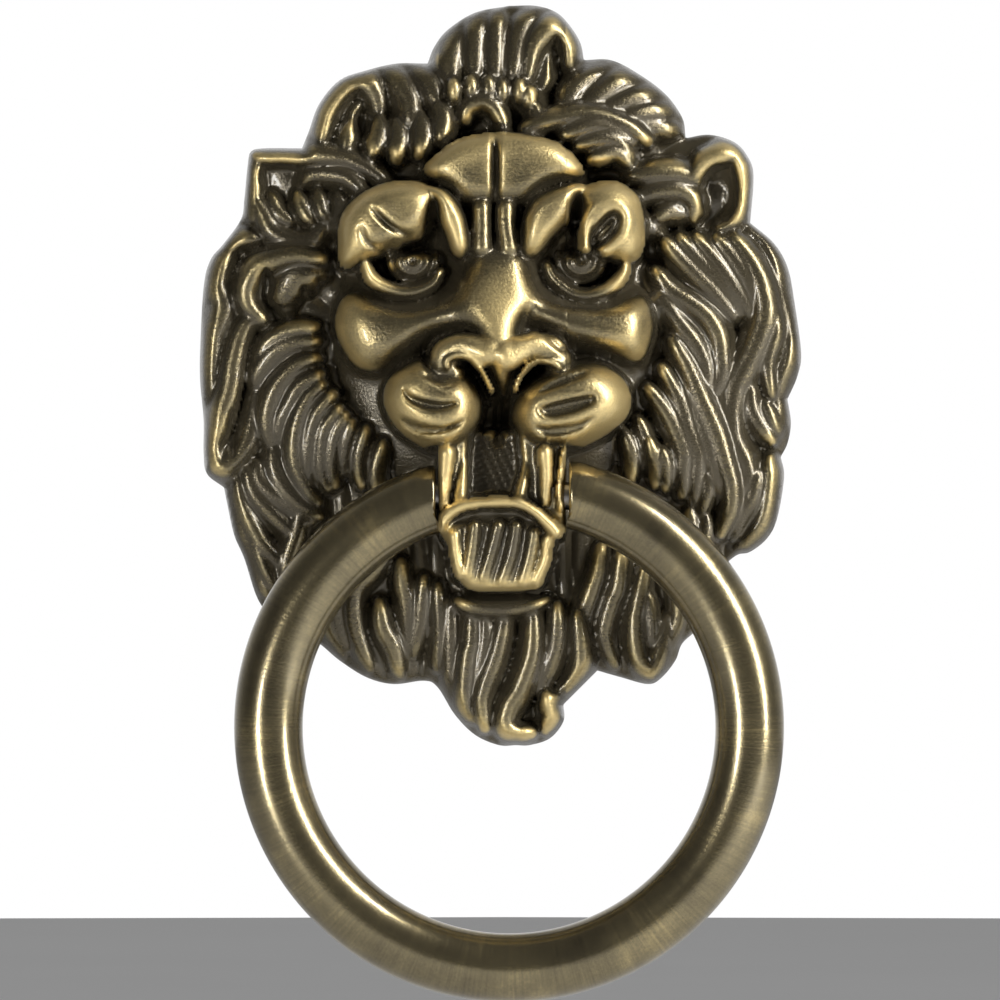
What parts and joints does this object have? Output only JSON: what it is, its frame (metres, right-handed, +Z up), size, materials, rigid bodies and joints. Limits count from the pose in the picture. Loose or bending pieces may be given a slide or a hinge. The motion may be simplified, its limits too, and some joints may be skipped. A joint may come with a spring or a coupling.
{
  "type": "door knocker",
  "caption": "Cast lion-head door knocker with a swinging ring pinned in its jaw, bolted through the door.",
  "frame": {"origin": "centre of the two studs' pattern, on the back face that lies on the door", "axes": "+Z up, -Y out of the door towards the visitor, +X to the visitor's right"},
  "size_m": [0.0885, 0.0802, 0.1458],
  "materials": {
    "cast_brass": "satin",
    "ring_brass": "satin",
    "pin_steel": "satin",
    "stud_steel": "satin",
    "nut_brass": "satin"
  },
  "bodies": {
    "head": {"lion_head": "cast_brass", "stud_upper": "stud_steel", "stud_lower": "stud_steel", "washer_upper": "nut_brass", "washer_lower": "nut_brass", "cap_nut_upper": "nut_brass", "cap_nut_lower": "nut_brass"},
    "ring": {"ring": "ring_brass", "pivot_pin_left": "pin_steel", "pivot_pin_right": "pin_steel"}
  },
  "joints": [
    {"name": "ring_swing", "type": "hinge", "parent": "head", "child": "ring", "pos_m": [0, -0.018, -0.0177], "axis": [-1, 0, 0], "range_deg": [-10.8, 120]}
  ]
}
